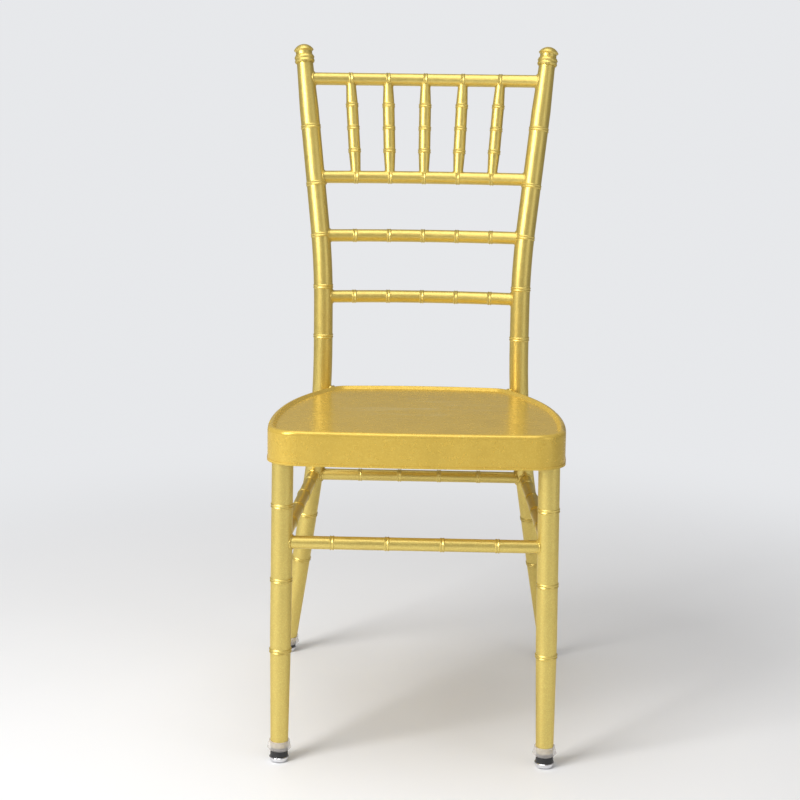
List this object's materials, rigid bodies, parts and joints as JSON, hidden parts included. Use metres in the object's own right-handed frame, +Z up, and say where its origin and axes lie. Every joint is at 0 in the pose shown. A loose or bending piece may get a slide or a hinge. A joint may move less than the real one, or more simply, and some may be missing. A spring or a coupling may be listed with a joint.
{
  "type": "chiavari chair",
  "caption": "Banquet side chair of gold-painted welded steel tube with bamboo-like rings, a ladder back with spindles and a sunk pressed steel seat on capped feet.",
  "frame": {"origin": "on the floor, under the middle of the chair's overall outline", "axes": "+Z up, -Y to the front of the chair, +X to the picture's right"},
  "size_m": [0.4308, 0.4491, 0.9245],
  "materials": {
    "frame_paint": "metallic gold paint, satin",
    "seat_paint": "metallic gold paint, semi-gloss",
    "boot_plastic": "translucent, slightly clouded",
    "cushion_rubber": "matt",
    "glide_chrome": "polished"
  },
  "bodies": {
    "root": {"rear_post_left": "frame_paint", "rear_post_right": "frame_paint", "finial_left": "frame_paint", "finial_right": "frame_paint", "front_leg_left": "frame_paint", "front_leg_right": "frame_paint", "crest_rail": "frame_paint", "spindle_rail": "frame_paint", "middle_rail": "frame_paint", "lower_rail": "frame_paint", "spindle_1": "frame_paint", "spindle_2": "frame_paint", "spindle_3": "frame_paint", "spindle_4": "frame_paint", "spindle_5": "frame_paint", "front_stretcher": "frame_paint", "rear_stretcher": "frame_paint", "left_stretcher": "frame_paint", "right_stretcher": "frame_paint", "seat_pan": "seat_paint", "boot_front_left": "boot_plastic", "boot_front_right": "boot_plastic", "boot_rear_left": "boot_plastic", "boot_rear_right": "boot_plastic", "cushion_front_left": "cushion_rubber", "cushion_front_right": "cushion_rubber", "cushion_rear_left": "cushion_rubber", "cushion_rear_right": "cushion_rubber", "glide_front_left": "glide_chrome", "glide_front_right": "glide_chrome", "glide_rear_left": "glide_chrome", "glide_rear_right": "glide_chrome"}
  },
  "joints": []
}
